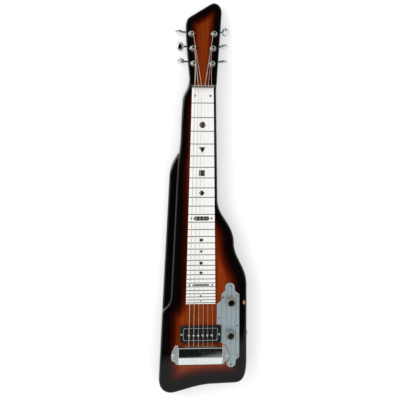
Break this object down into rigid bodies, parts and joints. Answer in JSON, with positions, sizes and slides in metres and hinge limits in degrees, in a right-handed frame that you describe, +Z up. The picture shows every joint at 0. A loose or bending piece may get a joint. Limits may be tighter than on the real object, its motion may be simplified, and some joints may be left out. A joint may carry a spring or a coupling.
{
  "type": "lap steel guitar",
  "caption": "Solid-body electric lap steel guitar played flat on its back, with raised nut and bridge, tuning machines, pickup, bridge cover, control plate and output jack.",
  "frame": {"origin": "centre of the flat back's plane under the nut line, where the six strings start to sound", "axes": "+X towards the treble side, +Y towards the head, +Z up from the flat back through the fingerboard"},
  "size_m": [0.1971, 0.8464, 0.0584],
  "materials": {
    "lacquer": "gloss sunburst lacquer",
    "white_plastic": "satin white",
    "black_plastic": "gloss black",
    "chrome": "polished",
    "nickel": "nickel plate, slightly worn",
    "silver_plate": "satin, pressed lines",
    "string_wire": "wound and plain steel wire",
    "brass": "plain",
    "copper_wire": "enamelled wire",
    "magnet": "cast",
    "insulation": "cloth-covered"
  },
  "bodies": {
    "instrument": {"body": "lacquer", "fingerboard": "white_plastic", "nut": "nickel", "string_1": "string_wire", "string_2": "string_wire", "string_3": "string_wire", "string_4": "string_wire", "string_5": "string_wire", "string_6": "string_wire", "tuner_housing_bass_1": "chrome", "tuner_bushing_bass_1": "chrome", "tuner_housing_bass_2": "chrome", "tuner_bushing_bass_2": "chrome", "tuner_housing_bass_3": "chrome", "tuner_bushing_bass_3": "chrome", "tuner_housing_treble_1": "chrome", "tuner_bushing_treble_1": "chrome", "tuner_housing_treble_2": "chrome", "tuner_bushing_treble_2": "chrome", "tuner_housing_treble_3": "chrome", "tuner_bushing_treble_3": "chrome", "pickup_ring": "black_plastic", "pickup_frame": "chrome", "pickup_bobbin": "black_plastic", "pickup_coil": "copper_wire", "pickup_poles": "chrome", "pickup_magnet": "magnet", "ring_screw_bass": "chrome", "ring_screw_treble": "chrome", "bridge_plate": "nickel", "bridge_saddle": "nickel", "bridge_screw_bass": "nickel", "bridge_screw_treble": "nickel", "bridge_cover": "chrome", "cover_screw_bass": "chrome", "cover_screw_treble": "chrome", "control_plate": "silver_plate", "volume_pot": "brass", "tone_pot": "brass", "output_jack": "nickel", "tone_capacitor": "brass", "pickup_lead": "insulation", "jack_lead": "insulation"},
    "button_bass_1": {"tuner_button_bass_1": "chrome"},
    "post_bass_1": {"tuner_post_bass_1": "chrome"},
    "button_bass_2": {"tuner_button_bass_2": "chrome"},
    "post_bass_2": {"tuner_post_bass_2": "chrome"},
    "button_bass_3": {"tuner_button_bass_3": "chrome"},
    "post_bass_3": {"tuner_post_bass_3": "chrome"},
    "button_treble_1": {"tuner_button_treble_1": "chrome"},
    "post_treble_1": {"tuner_post_treble_1": "chrome"},
    "button_treble_2": {"tuner_button_treble_2": "chrome"},
    "post_treble_2": {"tuner_post_treble_2": "chrome"},
    "button_treble_3": {"tuner_button_treble_3": "chrome"},
    "post_treble_3": {"tuner_post_treble_3": "chrome"},
    "volume_control": {"volume_shaft": "nickel", "volume_knob": "chrome"},
    "tone_control": {"tone_shaft": "nickel", "tone_knob": "chrome"}
  },
  "joints": [
    {"name": "button_turn_bass_1", "type": "hinge", "parent": "instrument", "child": "button_bass_1", "pos_m": [-0.0194, 0.05329, 0.01849], "axis": [1, 0, 0], "continuous": true},
    {"name": "post_turn_bass_1", "type": "hinge", "parent": "instrument", "child": "post_bass_1", "pos_m": [-0.0194, 0.049, 0.0377], "axis": [0, 0.1219, 0.9925], "continuous": true},
    {"name": "button_turn_bass_2", "type": "hinge", "parent": "instrument", "child": "button_bass_2", "pos_m": [-0.0213, 0.08449, 0.01466], "axis": [1, 0, 0], "continuous": true},
    {"name": "post_turn_bass_2", "type": "hinge", "parent": "instrument", "child": "post_bass_2", "pos_m": [-0.0213, 0.0802, 0.03387], "axis": [0, 0.1219, 0.9925], "continuous": true},
    {"name": "button_turn_bass_3", "type": "hinge", "parent": "instrument", "child": "button_bass_3", "pos_m": [-0.0238, 0.11449, 0.01097], "axis": [1, 0, 0], "continuous": true},
    {"name": "post_turn_bass_3", "type": "hinge", "parent": "instrument", "child": "post_bass_3", "pos_m": [-0.0238, 0.1102, 0.03019], "axis": [0, 0.1219, 0.9925], "continuous": true},
    {"name": "button_turn_treble_1", "type": "hinge", "parent": "instrument", "child": "button_treble_1", "pos_m": [0.0194, 0.05329, 0.01849], "axis": [1, 0, 0], "continuous": true},
    {"name": "post_turn_treble_1", "type": "hinge", "parent": "instrument", "child": "post_treble_1", "pos_m": [0.0194, 0.049, 0.0377], "axis": [0, 0.1219, 0.9925], "continuous": true},
    {"name": "button_turn_treble_2", "type": "hinge", "parent": "instrument", "child": "button_treble_2", "pos_m": [0.0213, 0.08449, 0.01466], "axis": [1, 0, 0], "continuous": true},
    {"name": "post_turn_treble_2", "type": "hinge", "parent": "instrument", "child": "post_treble_2", "pos_m": [0.0213, 0.0802, 0.03387], "axis": [0, 0.1219, 0.9925], "continuous": true},
    {"name": "button_turn_treble_3", "type": "hinge", "parent": "instrument", "child": "button_treble_3", "pos_m": [0.0238, 0.11449, 0.01097], "axis": [1, 0, 0], "continuous": true},
    {"name": "post_turn_treble_3", "type": "hinge", "parent": "instrument", "child": "post_treble_3", "pos_m": [0.0238, 0.1102, 0.03019], "axis": [0, 0.1219, 0.9925], "continuous": true},
    {"name": "volume_turn", "type": "hinge", "parent": "instrument", "child": "volume_control", "pos_m": [0.066, -0.4625, 0.05], "axis": [0, 0, 1], "range_deg": [-150, 150]},
    {"name": "tone_turn", "type": "hinge", "parent": "instrument", "child": "tone_control", "pos_m": [0.066, -0.5375, 0.05], "axis": [0, 0, 1], "range_deg": [-150, 150]}
  ],
  "couplings": [
    {"joint": "post_turn_bass_1", "follows": "button_turn_bass_1", "ratio": 0.071429},
    {"joint": "post_turn_bass_2", "follows": "button_turn_bass_2", "ratio": 0.071429},
    {"joint": "post_turn_bass_3", "follows": "button_turn_bass_3", "ratio": 0.071429},
    {"joint": "post_turn_treble_1", "follows": "button_turn_treble_1", "ratio": 0.071429},
    {"joint": "post_turn_treble_2", "follows": "button_turn_treble_2", "ratio": 0.071429},
    {"joint": "post_turn_treble_3", "follows": "button_turn_treble_3", "ratio": 0.071429}
  ]
}
